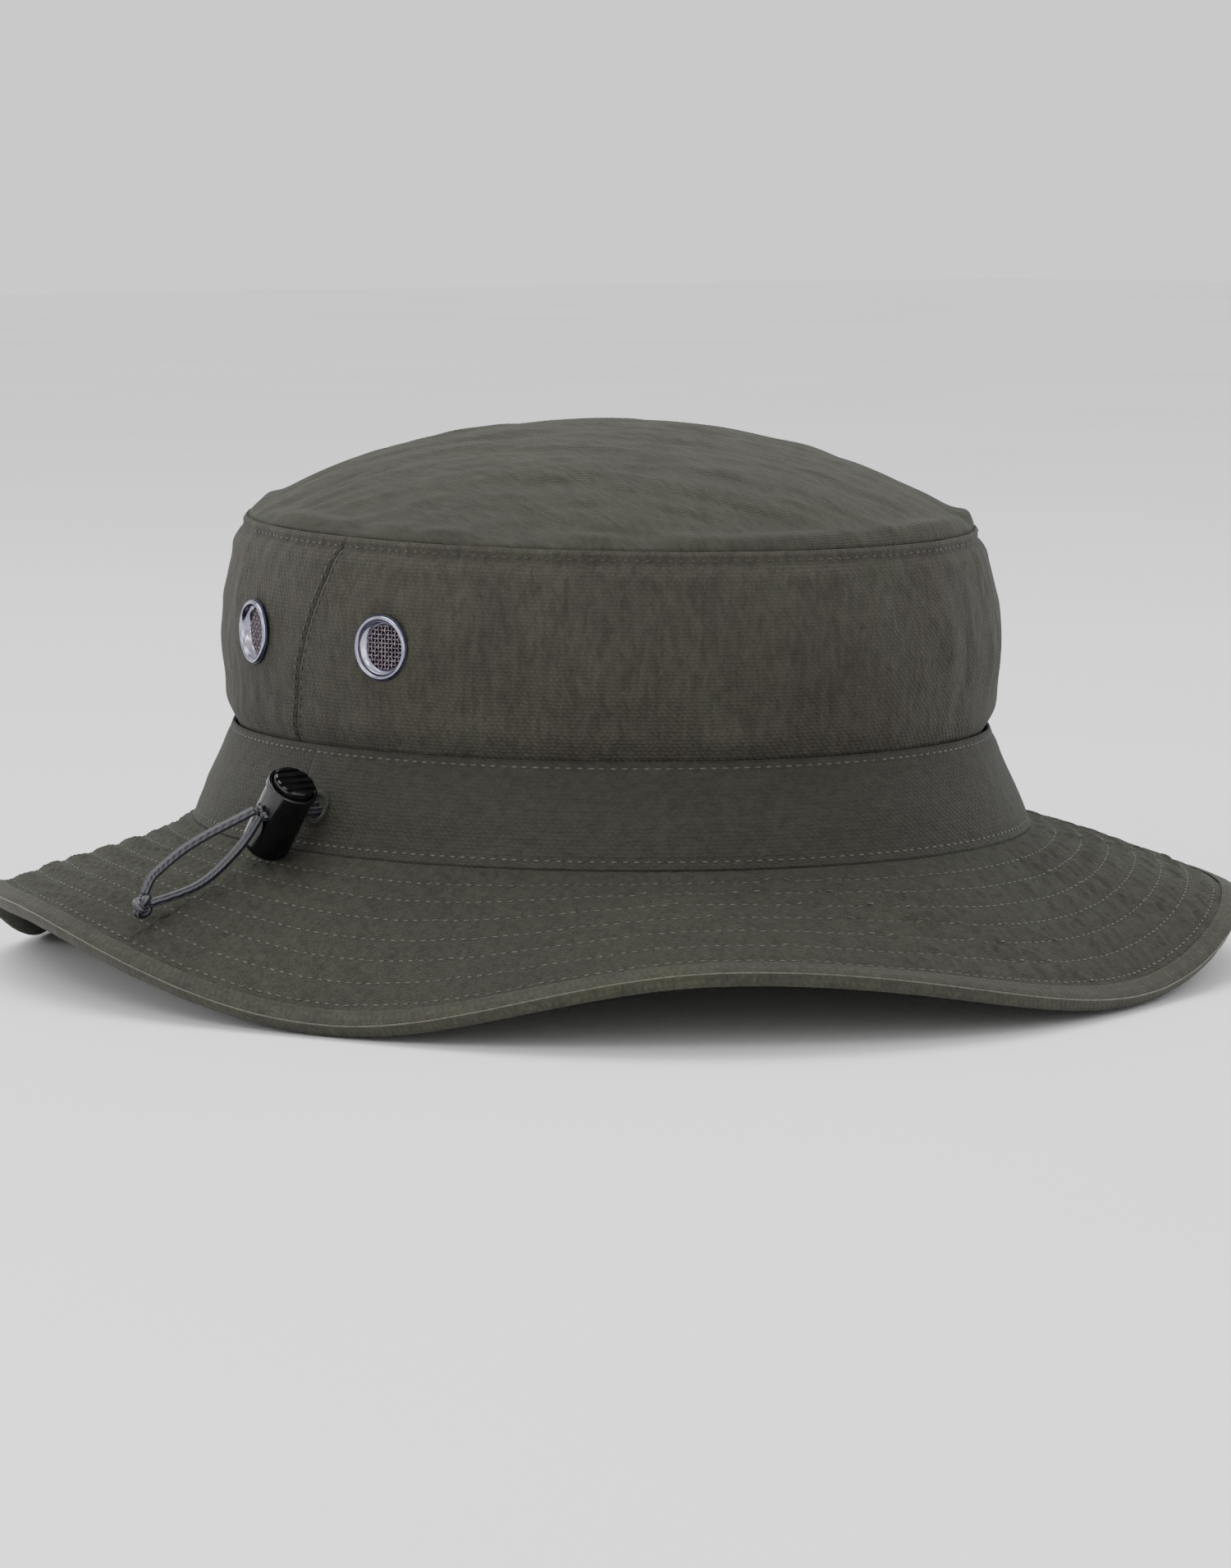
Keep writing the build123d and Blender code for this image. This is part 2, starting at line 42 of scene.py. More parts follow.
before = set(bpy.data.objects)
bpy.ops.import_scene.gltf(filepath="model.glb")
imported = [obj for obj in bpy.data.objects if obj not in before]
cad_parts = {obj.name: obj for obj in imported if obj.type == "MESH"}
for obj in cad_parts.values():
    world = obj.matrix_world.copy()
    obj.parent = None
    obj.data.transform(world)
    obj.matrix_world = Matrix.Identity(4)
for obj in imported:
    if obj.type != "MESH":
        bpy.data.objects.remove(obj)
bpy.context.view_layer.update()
scene = bpy.context.scene
MM = 0.001

# --- sizes read from the frame ------------------------------------------------------------
band_low, band_high = (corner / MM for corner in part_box("band_front"))
crown_low, crown_high = (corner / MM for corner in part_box("crown_top"))
panel_low, panel_high = (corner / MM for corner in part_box("side_panel_front"))
SEAM_Z = band_low.z
R_SEAM = band_high.x
LENGTH_RATIO = -band_low.y / R_SEAM
WAIST_H = band_high.z - SEAM_Z
TOP_Z = crown_low.z
TOP_H = TOP_Z - SEAM_Z
R_TOP = crown_high.x
DOME_H = crown_high.z - TOP_Z
R_BULGE = panel_high.x
FOOT_H = panel_low.z - SEAM_Z
R_WAIST = 85.2
BULGE_H = 46.0
FOOT_INSET = 3.1
FOOT_R = R_WAIST - FOOT_INSET
DOME_FLAT = 0.45
DOME_SHOULDER = (0.80, 0.52)
EYELET_H = 46.5
EYELET_SPREAD = 15.5
BRIM_WIDTH = 51.2
BRIM_ARCH = 1.2
BRIM_THICKNESS = 2.4
LAYER_GAP = 0.1
# The brim's edge: azimuth in degrees, and how far it lies below the seam
BRIM_WAVE = np.array(
    [
        (-142, 29.6),
        (-117, 12.8),
        (-108, 12.8),
        (-66, 29.4),
        (-30, 14.8),
        (15, 29.0),
        (48, 16.5),
        (75, 17.5),
        (92, 14.5),
        (132, 29.5),
        (170, 17.0),
        (218, 29.6),
    ]
)
# Stitch rows, as shares of the brim's width
ROWS_ALONG = [0.12, 0.245, 0.375, 0.505, 0.63, 0.76, 0.885]
EDGE_ROW = 0.955
CROWN_SETTLE = 2.0

# --- camera -------------------------------------------------------------------------------
LENS = 119.15
VIEW_AZIMUTH = radians(-40.0)
VIEW_ELEVATION = radians(6.1)
VIEW_DISTANCE = 1219
AIM_OVER_SEAM = 19.1
LOOK_RIGHT = 1.54
LOOK_DOWN = 11.56
camera_data = bpy.data.cameras.new("studio_camera")
camera_data.lens = LENS
camera_data.clip_start = 0.01
camera = bpy.data.objects.new("studio_camera", camera_data)
scene.collection.objects.link(camera)
scene.camera = camera
back = Vector(
    (
        sin(VIEW_AZIMUTH) * cos(VIEW_ELEVATION),
        -cos(VIEW_AZIMUTH) * cos(VIEW_ELEVATION),
        sin(VIEW_ELEVATION),
    )
)
across = Vector((cos(VIEW_AZIMUTH), sin(VIEW_AZIMUTH), 0))
upwards = back.cross(across)
aim = Vector((0, 0, (SEAM_Z + AIM_OVER_SEAM) * MM))
camera.location = aim + back * VIEW_DISTANCE * MM
target = aim + across * LOOK_RIGHT * MM - upwards * LOOK_DOWN * MM
camera.rotation_euler = (target - camera.location).to_track_quat("-Z", "Y").to_euler()


# --- materials ----------------------------------------------------------------------------
def linear(hex_code):
    """An sRGB hex colour as the linear colour that the shader takes."""
    parts = [int(hex_code[i : i + 2], 16) / 255 for i in (1, 3, 5)]
    return tuple(p / 12.92 if p <= 0.04045 else ((p + 0.055) / 1.055) ** 2.4 for p in parts) + (1,)


def add(tree, kind, inputs=None, **settings):
    """Add a node, set its options, and set or link its inputs."""
    made = tree.nodes.new(kind)
    for option, value in settings.items():
        setattr(made, option, value)
    for socket, value in (inputs or {}).items():
        if isinstance(value, bpy.types.NodeSocket):
            tree.links.new(value, made.inputs[socket])
        else:
            made.inputs[socket].default_value = value
    return made


def new_material(name, **constants):
    """A material with its shader's constant sockets set, ready for its patterns."""
    material = bpy.data.materials.new(name)
    material.use_nodes = True
    shader = material.node_tree.nodes["Principled BSDF"]
    for socket, value in constants.items():
        shader.inputs[socket.replace("_", " ")].default_value = value
    return material, material.node_tree, shader


def tone(tree, low, high, pattern, start=0.35, end=0.65):
    """A colour that goes from low to high as a pattern rises from start to end."""
    ramp = add(tree, "ShaderNodeValToRGB", {"Fac": pattern})
    ramp.color_ramp.elements[0].position = start
    ramp.color_ramp.elements[0].color = linear(low)
    ramp.color_ramp.elements[1].position = end
    ramp.color_ramp.elements[1].color = linear(high)
    return ramp.outputs["Color"]


def mapped(tree, coordinates, scale, turned=0.0):
    """Coordinates scaled for a pattern, and turned about their Z by an angle."""
    inputs = {"Vector": coordinates, "Scale": scale, "Rotation": (0, 0, turned)}
    return add(tree, "ShaderNodeMapping", inputs).outputs["Vector"]


def raise_by(tree, shader, height, strength, distance):
    """Bump the shader's normal by a height pattern; distance is in metres."""
    inputs = {"Height": height, "Strength": strength, "Distance": distance}
    raised = add(tree, "ShaderNodeBump", inputs)
    tree.links.new(raised.outputs["Normal"], shader.inputs["Normal"])


# Nylon taslan, piece-dyed and washed: matt, olive with browner worn patches, and a fine
# crinkle that catches the light, with painted shade in its valleys and in the weave's gaps.
# The real threads are 0.3 mm apart; 0.7 mm shows.
def washed_nylon(name, shade, worn, dark, patch=(30, 30, 30), streak=(2.2, 9, 2.2), lean=0.0, bump=0.35):
    material, tree, shader = new_material(
        name, Roughness=0.74, Sheen_Weight=0.04, Sheen_Roughness=0.45, Specular_IOR_Level=0.3
    )
    place = add(tree, "ShaderNodeTexCoord")
    patches = mapped(tree, place.outputs["Object"], [1000 / size for size in patch])
    streaks = mapped(tree, place.outputs["Object"], [1000 / size for size in streak], lean)
    threads = mapped(tree, place.outputs["UV"], (1000, 1000, 1))
    blotch = add(
        tree,
        "ShaderNodeTexNoise",
        {"Vector": patches, "Scale": 1.0, "Detail": 4.0, "Roughness": 0.6},
    )
    crinkle = add(
        tree,
        "ShaderNodeTexNoise",
        {
            "Vector": streaks,
            "Scale": 1.0,
            "Detail": 7.0,
            "Roughness": 0.66,
            "Distortion": 0.6,
        },
    )
    warp = add(
        tree,
        "ShaderNodeTexWave",
        {"Vector": threads, "Scale": 0.42, "Distortion": 2.6, "Detail": 2.0},
        bands_direction="DIAGONAL",
    )
    weft = add(
        tree,
        "ShaderNodeTexWave",
        {"Vector": threads, "Scale": 0.36, "Distortion": 2.8, "Detail": 2.0},
        bands_direction="Y",
    )
    weave = add(
        tree, "ShaderNodeMath", {0: warp.outputs["Fac"], 1: weft.outputs["Fac"]}, operation="MULTIPLY"
    )
    cloth = tone(tree, worn, shade, blotch.outputs["Fac"], 0.36, 0.62)
    # Painted shade: the dark colour darkens the crinkle's valleys, where its bump is lowest.
    painted_crease_shade = tone(tree, dark, "#ffffff", crinkle.outputs["Fac"], 0.30, 0.62)
    cloth_and_crease_shade = add(
        tree,
        "ShaderNodeMix",
        {0: 0.75, 6: cloth, 7: painted_crease_shade},
        data_type="RGBA",
        blend_type="MULTIPLY",
    )
    # Painted shade in the weave's gaps, where its bump is lowest.
    painted_gap_shade = tone(tree, "#b4b4b0", "#ffffff", weave.outputs["Value"], 0.05, 0.6)
    woven = add(
        tree,
        "ShaderNodeMix",
        {0: 0.35, 6: cloth_and_crease_shade.outputs[2], 7: painted_gap_shade},
        data_type="RGBA",
        blend_type="MULTIPLY",
    )
    tree.links.new(woven.outputs[2], shader.inputs["Base Color"])
    grain = add(
        tree,
        "ShaderNodeMath",
        {0: weave.outputs["Value"], 1: 0.35, 2: crinkle.outputs["Fac"]},
        operation="MULTIPLY_ADD",
    )
    raise_by(tree, shader, grain.outputs["Value"], bump, 0.0014)
    return material


# Spun polyester thread: a soft sheen and a faint ply along it.
def sewing_thread(name, light, dark):
    material, tree, shader = new_material(name, Roughness=0.55, Sheen_Weight=0.15)
    place = add(tree, "ShaderNodeTexCoord")
    ply = add(
        tree,
        "ShaderNodeTexNoise",
        {"Vector": place.outputs["Object"], "Scale": 900.0, "Detail": 1.0},
    )
    tree.links.new(tone(tree, dark, light, ply.outputs["Fac"]), shader.inputs["Base Color"])
    return material


# Braided elastic, nylon sheath: lengthwise ribs, painted light on their tops as a highlight and dark in
# their grooves as shade, with a soft gloss on them.
def braided_elastic(name, light, dark):
    material, tree, shader = new_material(name, Roughness=0.36, Sheen_Weight=0.05)
    place = add(tree, "ShaderNodeTexCoord")
    ribs_at = mapped(tree, place.outputs["UV"], (1000, 120, 1), 0.05)
    ribs = add(
        tree,
        "ShaderNodeTexWave",
        {"Vector": ribs_at, "Scale": 0.28, "Distortion": 1.4, "Detail": 2.0},
        bands_direction="X",
    )
    picks_at = mapped(tree, place.outputs["UV"], (1000, 1000, 1))
    picks = add(
        tree,
        "ShaderNodeTexWave",
        {"Vector": picks_at, "Scale": 0.35, "Distortion": 0.4},
        bands_direction="DIAGONAL",
    )
    # The ribs' tops get a painted highlight and their grooves painted shade.
    tree.links.new(tone(tree, dark, light, ribs.outputs["Fac"], 0.2, 0.9), shader.inputs["Base Color"])
    height = add(
        tree,
        "ShaderNodeMath",
        {0: picks.outputs["Fac"], 1: 0.5, 2: ribs.outputs["Fac"]},
        operation="MULTIPLY_ADD",
    )
    raise_by(tree, shader, height.outputs["Value"], 0.5, 0.0003)
    return material


# Turned and handled metal or moulded plastic: fine grit in its gloss, so highlights break up.
def handled(name, light, dark, grit, gloss, matt, bump=0.08, **constants):
    material, tree, shader = new_material(name, **constants)
    place = add(tree, "ShaderNodeTexCoord")
    wear_at = mapped(tree, place.outputs["Object"], [1000 / grit] * 3)
    wear = add(tree, "ShaderNodeTexNoise", {"Vector": wear_at, "Scale": 1.0, "Detail": 4.0})
    tree.links.new(tone(tree, dark, light, wear.outputs["Fac"]), shader.inputs["Base Color"])
    rough = add(
        tree,
        "ShaderNodeMapRange",
        {
            "Value": wear.outputs["Fac"],
            "From Min": 0.3,
            "From Max": 0.7,
            "To Min": gloss,
            "To Max": matt,
        },
    )
    tree.links.new(rough.outputs["Result"], shader.inputs["Roughness"])
    raise_by(tree, shader, wear.outputs["Fac"], bump, 0.0002)
    return material


# Each cloth's third colour is the painted shade in its crinkle's valleys.
crown_nylon = washed_nylon(
    "washed nylon taslan, crown",
    "#393a2d",
    "#35342a",
    "#96958a",
    streak=(1.3, 7, 3),
    lean=0.6,
    bump=0.6,
)
wall_nylon = washed_nylon(
    "washed nylon taslan, wall",
    "#3a392e",
    "#36312a",
    "#96948a",
    patch=(17, 17, 30),
    streak=(1.6, 1.6, 4.5),
    bump=0.55,
)
band_nylon = washed_nylon(
    "washed nylon taslan, band",
    "#2f2f27",
    "#2c2b23",
    "#aaa89e",
    patch=(25, 25, 25),
    streak=(2.5, 2.5, 1.5),
    bump=0.5,
)
brim_nylon = washed_nylon(
    "washed nylon taslan, brim", "#434436", "#3e3d30", "#8c8b80", streak=(1.8, 1.8, 1.8), bump=1.0
)
lining_nylon = washed_nylon(
    "brushed nylon lining, plain weave", "#3f3f32", "#3a392d", "#b4b2a8", streak=(2, 2, 2)
)
tape_nylon = washed_nylon(
    "nylon binding tape, cut on the bias",
    "#3b3b2e",
    "#34332a",
    "#86857a",
    patch=(6, 6, 6),
    streak=(1.2, 1.2, 3),
)
cotton = washed_nylon(
    "cotton twill sweatband, washed soft",
    "#403f37",
    "#3b3a32",
    "#b4b2a8",
    streak=(1.5, 1.5, 4),
    bump=0.6,
)
pale_thread = sewing_thread("polyester thread, olive", "#434338", "#2f2e27")
dark_thread = sewing_thread("polyester thread, dark olive", "#24241f", "#181815")
tan_thread = sewing_thread("polyester thread, tan", "#4d4839", "#38332a")
# Its light colour is the ribs' painted highlight, its dark one their painted shade; the cord is charcoal.
elastic = braided_elastic("braided elastic cord, charcoal", "#3a3b43", "#0b0c0f")
# Plated brass, rolled and polished: bright, blue in its shadows, scuffed a little dull.
plated = handled(
    "nickel-plated brass, rolled", "#a3a2b0", "#7b7a8c", 3.0, 0.14, 0.26, 0.04, Metallic=1.0
)
# The same plating, dark and blue with little shine: painted shade round the eyelet's outer edge.
shade_painted = handled("nickel-plated brass, blued edge", "#2a2c4a", "#15162b", 1.5, 0.3, 0.5, Metallic=0.6)
# Woven steel wire, left dull: grey with a mauve cast.
wire = handled("steel wire gauze, woven", "#857b82", "#4c454b", 0.8, 0.45, 0.65, Metallic=0.7)
# Moulded acetal, polished: deep black with sharp highlights down its length.
acetal = handled(
    "black acetal, moulded and polished",
    "#101012",
    "#080809",
    4.0,
    0.07,
    0.14,
    0.03,
    Specular_IOR_Level=0.45,
)
# Hardened spring wire: bright grey, drawn smooth.
spring_steel = handled("spring steel wire, drawn", "#b7b9bd", "#8b8d92", 1.0, 0.2, 0.35, Metallic=1.0)


# --- surfaces -----------------------------------------------------------------------------
# In the relief lines below, a leading number is a height in mm; ripples() takes bump sizes in mm
# and a seed, and hump() a middle and a width in the units of its first value.
def ripples(points, sizes, seed):
    """Smooth random heights from -1 to 1, with bumps of the given sizes along X, Y and Z."""
    cells = points / np.array(sizes)
    low = np.floor(cells).astype(int)
    ease = cells - low
    ease = ease * ease * (3 - 2 * ease)
    table = np.random.default_rng(seed).uniform(-1, 1, (48, 48, 48))
    total = np.zeros(len(points))
    for i in (0, 1):
        for j in (0, 1):
            for k in (0, 1):
                share = np.ones(len(points))
                for axis, step in enumerate((i, j, k)):
                    share = share * (ease[:, axis] if step else 1 - ease[:, axis])
                x, y, z = ((low + (i, j, k)) % 48).T
                total += share * table[x, y, z]
    return total


def hump(value, middle, width):
    """A smooth hump of height 1 round a middle."""
    return np.exp(-(((value - middle) / width) ** 2))


def on_oval(azimuth, radius, height):
    """Points on the hat's oval at an azimuth from the front, a side half-width and a height."""
    a = np.radians(azimuth)
    side, length = np.sin(a) / radius, np.cos(a) / (radius * LENGTH_RATIO)
    reach = 1 / np.sqrt(side**2 + length**2)
    return np.stack([reach * np.sin(a), -reach * np.cos(a), SEAM_Z + height + 0 * a], 1)


def outwards(azimuth):
    """The level direction away from the hat's middle."""
    a = np.radians(azimuth)
    return np.stack([np.sin(a), -np.cos(a), 0 * a], 1)


def wall_radius(height):
    """The wall's half-width at a height, on a curve through its foot, bulge and top."""
    knots = [(FOOT_H, FOOT_R), (BULGE_H, R_BULGE), (TOP_H, R_TOP)]
    total = 0
    for h, r in knots:
        share = 1
        for other, _ in knots:
            if other != h:
                share = share * (height - other) / (h - other)
        total = total + r * share
    return total


def half_turn(angle):
    """An angle in degrees, brought between -180 and 180."""
    return (angle + 180) % 360 - 180


def seam_dip(azimuth, height):
    """How far the wall is drawn in along a side seam."""
    lean = seam_lean(height)
    right = hump(half_turn(azimuth + 90 - lean), 0, 0.5)
    left = hump(half_turn(azimuth - 90 + lean), 0, 0.5)
    return right + left


def seam_lean(height):
    """The side seam's azimuth away from the hat's side, which leans as the cloth was eased in."""
    return np.interp(height, [WAIST_H, 42, TOP_H], [-5.6, -2.2, 4.8])


def settle(points):
    """Let the crown lean down a little towards its front right, as an empty hat does."""
    share = np.clip((points[:, 2] - SEAM_Z - WAIST_H) / (TOP_H - WAIST_H), 0, 1)
    lean = (-0.1 * points[:, 0] - 0.9 * points[:, 1]) / R_TOP
    points[:, 2] -= CROWN_SETTLE * share * lean
    return points


def wall(azimuth, height):
    """The crown wall's outer face, with its folds, puckers and drawn-in seams."""
    azimuth, height = np.broadcast_arrays(np.asarray(azimuth, float), np.asarray(height, float))
    points = on_oval(azimuth, wall_radius(height), height)
    front = 0.35 + 0.65 * hump(half_turn(azimuth + 15), 0, 55)
    free = np.clip((height - WAIST_H) / 14, 0, 1) * np.clip((TOP_H - height) / 6, 0, 1)
    relief = 1.0 * free * front * ripples(points, (13, 13, 55), 3)
    relief += 0.45 * free * ripples(points, (6, 6, 18), 4)
    relief += 0.22 * ripples(points, (2.6, 2.6, 5), 5)
    relief += 1.0 * hump(height, WAIST_H + 4.5, 4.0)
    relief += 0.5 * hump(height, WAIST_H + 4, 5) * ripples(points, (7, 7, 60), 6)
    relief += 0.45 * hump(height, TOP_H - 0.7, 0.8) - 0.6 * hump(height, TOP_H - 2.4, 0.8)
    relief += 0.45 * hump(height, TOP_H - 5.5, 2.4) * (1 + 0.8 * ripples(points, (4, 4, 60), 7))
    relief -= 0.4 * seam_dip(azimuth, height)
    return settle(points + outwards(azimuth) * relief[:, None])


def band(azimuth, height):
    """The band's outer face, creased a little along its length."""
    azimuth, height = np.broadcast_arrays(np.asarray(azimuth, float), np.asarray(height, float))
    radius = R_SEAM + (R_WAIST - R_SEAM) * height / WAIST_H
    points = on_oval(azimuth, radius, height)
    middle = np.clip(height / 4, 0, 1) * np.clip((WAIST_H - height) / 4, 0, 1)
    relief = 0.5 * middle * ripples(points, (26, 26, 9), 11) + 0.1 * ripples(points, (3, 3, 3), 12)
    relief += 0.3 * hump(height, 9.6, 3.5)
    relief -= 0.28 * hump(height, WAIST_H - 1.6, 0.6) + 0.28 * hump(height, 1.8, 0.6)
    relief += 0.15 * hump(height, WAIST_H - 0.4, 0.5)
    return points + outwards(azimuth) * relief[:, None]


def edge_drop(azimuth):
    """How far the brim's edge lies below the seam."""
    turned = (azimuth - BRIM_WAVE[0, 0]) % 360 + BRIM_WAVE[0, 0]
    part = np.interp(turned, BRIM_WAVE[:, 0], np.arange(len(BRIM_WAVE)))
    first = np.minimum(part.astype(int), len(BRIM_WAVE) - 2)
    ease = (1 - np.cos(pi * (part - first))) / 2
    drops = BRIM_WAVE[:, 1]
    return drops[first] + (drops[first + 1] - drops[first]) * ease


def brim_face(azimuth, along, depth):
    """The brim at a share of its width and a depth below its top, without its quilting."""
    azimuth, along = np.broadcast_arrays(np.asarray(azimuth, float), np.asarray(along, float))
    drop = edge_drop(azimuth)
    reach = np.sqrt(BRIM_WIDTH**2 - drop**2)
    slope = np.arctan((-drop + 4 * BRIM_ARCH * (1 - 2 * along)) / reach)
    out = reach * along + depth * np.sin(slope)
    z = -LAYER_GAP - drop * along + 4 * BRIM_ARCH * along * (1 - along) - depth * np.cos(slope)
    points = on_oval(azimuth, R_SEAM, z)
    return points + outwards(azimuth) * out[:, None], slope


# Long creases: azimuths at both ends, shares of the width at both ends, and a height
BRIM_CREASES = [
    (-33, -15, 0.03, 0.60, 0.9),
    (-29, -9, 0.06, 0.75, 0.8),
    (-25, -6, 0.02, 0.55, 0.9),
    (-20, 2, 0.10, 0.80, 0.7),
    (-37, -22, 0.20, 0.85, 0.6),
    (-14, 9, 0.15, 0.90, 0.6),
    (-8, 12, 0.25, 0.70, 0.5),
    (-31, -12, 0.10, 0.70, -0.6),
    (-60, -52, 0.30, 0.90, 0.4),
    (20, 34, 0.15, 0.85, 0.5),
    (-82, -82.5, 0.0, 0.95, -0.5),
    (98, 98.5, 0.0, 0.95, -0.5),
    (40, 52, 0.1, 0.7, 0.7),
    (150, 158, 0.1, 0.8, 0.8),
]


def quilting(azimuth, along, points):
    """The relief between the brim's stitched rows: puffs, short puckers and a few long creases."""
    relief = 0.10 * ripples(points, (2.4, 2.4, 2.4), 21) + 0.22 * ripples(points, (9, 9, 9), 22)
    rows = [0.0, *ROWS_ALONG, EDGE_ROW]
    for row in rows[1:]:
        relief -= 0.5 * hump(along, row, 0.02)
    between = np.ones(len(along))
    for row in rows:
        between = between * (1 - 0.9 * hump(along, row, 0.03))
    arc = np.radians(azimuth) * (R_SEAM + BRIM_WIDTH * along)
    pucker = ripples(np.stack([arc / 1.6, along * 7, 0 * arc], 1) + 90, (1, 1, 1), 23)
    relief += 0.5 * between * pucker
    for start, end, share_0, share_1, height in BRIM_CREASES:
        middle = start + (end - start) * np.clip((along - share_0) / (share_1 - share_0), 0, 1)
        past_end = np.abs(along - (share_0 + share_1) / 2) - (share_1 - share_0) / 2
        inside = hump(np.clip(past_end, 0, 1), 0, 0.05)
        relief += 0.8 * height * inside * hump(half_turn(azimuth - middle), 0, 0.6)
    return relief * np.clip(along / 0.03, 0, 1)


def brim_over(azimuth, along):
    """The brim's upper face."""
    azimuth, along = np.broadcast_arrays(np.asarray(azimuth, float), np.asarray(along, float))
    points, slope = brim_face(azimuth, along, 0)
    relief = quilting(azimuth, along, points)
    points[:, 2] += relief * np.cos(slope)
    return points - outwards(azimuth) * (relief * np.sin(slope))[:, None]


def brim_beneath(azimuth, along):
    """The brim's lower face."""
    azimuth, along = np.broadcast_arrays(np.asarray(azimuth, float), np.asarray(along, float))
    points, slope = brim_face(azimuth, along, BRIM_THICKNESS)
    relief = -0.6 * quilting(azimuth + 70, along, points)
    points[:, 2] += relief * np.cos(slope)
    return points - outwards(azimuth) * (relief * np.sin(slope))[:, None]


def dome(east, north):
    """The crown top, from a square of parameters -1 to 1 drawn out to its oval edge."""
    across_disc = east * np.sqrt(1 - north**2 / 2)
    along_disc = north * np.sqrt(1 - east**2 / 2)
    rho = np.sqrt(across_disc**2 + along_disc**2)
    left = 1 - rho
    shoulder, rise = DOME_SHOULDER
    r = R_TOP * (3 * left**2 * rho * DOME_FLAT + 3 * left * rho**2 * shoulder + rho**3)
    z = DOME_H * (left**3 + 3 * left**2 * rho + 3 * left * rho**2 * rise)
    unit = np.where(rho > 1e-6, rho, 1)
    x, y = across_disc / unit * r, along_disc / unit * r * LENGTH_RATIO
    points = np.stack([x, y, TOP_Z + z], 1)
    up = np.stack([x / R_TOP**2, y / R_TOP**2, (z + 8) / 24**2], 1)
    up = up / np.linalg.norm(up, axis=1)[:, None]
    turned = np.stack([x * 0.8 + y * 0.6, y * 0.8 - x * 0.6, 0 * x], 1)
    free = np.clip((1 - rho) / 0.06, 0, 1)
    relief = 0.8 * free * ripples(points, (42, 42, 90), 31)
    relief += 0.55 * free * ripples(turned, (6, 20, 9), 32)
    relief += 0.3 * free * ripples(turned, (2.6, 9, 9), 33)
    angle = np.degrees(np.arctan2(x, -y))
    fold = ripples(np.stack([angle / 7 + 60, 0 * x, 0 * x], 1), (1, 1, 1), 34)
    relief += 0.9 * hump(rho, 0.945, 0.04) * (1 + fold) - 0.5 * hump(rho, 1.0, 0.01)
    return settle(points + up * relief[:, None])


def frames(surface, p, q, step=0.05):
    """Points of a surface and its outward directions, by small steps along both parameters."""
    centre = surface(p, q)
    over = np.cross(surface(p + step, q) - centre, surface(p, q + step * 0.02) - centre)
    return centre, over / np.linalg.norm(over, axis=1)[:, None]


# --- pieces -------------------------------------------------------------------------------
def finish_piece(mesh, name, body, material, nodes, smooth=True):
    """Put a mesh in the scene as a piece that rides on a body and stands for CAD nodes."""
    piece = bpy.data.objects.new(name, mesh)
    scene.collection.objects.link(piece)
    piece.data.materials.append(material)
    if smooth:
        piece.data.shade_smooth()
    if body:
        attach(piece, body)
    if nodes:
        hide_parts(*nodes)
    return piece


def new_mesh(bm, name):
    """Write a bmesh to a new mesh and let it go."""
    mesh = bpy.data.meshes.new(name)
    bm.to_mesh(mesh)
    bm.free()
    return mesh


def dress(node, material):
    """Give a CAD node that is shown as it is a material."""
    solid = bpy.data.objects[node]
    solid.data.materials.clear()
    solid.data.materials.append(material)


def middle_of(node):
    """The middle of a CAD node's box, in metres."""
    low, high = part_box(node)
    return (low + high) / 2


def weld(mesh, tidy_normals=False):
    """Join the points of a mesh that lie in the same place."""
    bm = bmesh.new()
    bm.from_mesh(mesh)
    bmesh.ops.remove_doubles(bm, verts=bm.verts, dist=1e-6)
    if tidy_normals:
        bmesh.ops.recalc_face_normals(bm, faces=bm.faces)
    bm.to_mesh(mesh)
    bm.free()


def grid_mesh(name, columns, rows, place, flat):
    """A grid laid over a surface; flat gives its own width and height in mm for the cloth's UV."""
    bm = bmesh.new()
    bm.loops.layers.uv.new("cloth")
    bmesh.ops.create_grid(bm, x_segments=columns, y_segments=rows, size=0.5, calc_uvs=True)
    mesh = new_mesh(bm, name)
    co = np.zeros(len(mesh.vertices) * 3)
    mesh.vertices.foreach_get("co", co)
    co = co.reshape(-1, 3)
    points = place(co[:, 0] + 0.5, co[:, 1] + 0.5)
    mesh.vertices.foreach_set("co", (points * MM).ravel())
    uv = np.zeros(len(mesh.loops) * 2)
    mesh.uv_layers[0].data.foreach_get("uv", uv)
    uv = uv.reshape(-1, 2) * np.array(flat) * MM
    mesh.uv_layers[0].data.foreach_set("uv", uv.ravel())
    mesh.update()
    return mesh


def cut_holes(mesh, centres, radius):
    """Open a round hole in a cloth at each centre, its edge under the eyelet's flange."""
    bm = bmesh.new()
    bm.from_mesh(mesh)
    for centre in centres:
        inside = [f for f in bm.faces if (f.calc_center_median() - centre).length < radius]
        rim = {v for f in inside for v in f.verts}
        bmesh.ops.delete(bm, geom=inside, context="FACES")
        for v in rim:
            if v.is_valid:
                v.co = centre + (v.co - centre).normalized() * radius
    bm.to_mesh(mesh)
    bm.free()


def thicken(piece, thickness):
    """Give a cloth its thickness, inwards from its outer face."""
    wall_of = piece.modifiers.new("thickness", "SOLIDIFY")
    wall_of.thickness = thickness * MM
    wall_of.offset = -1


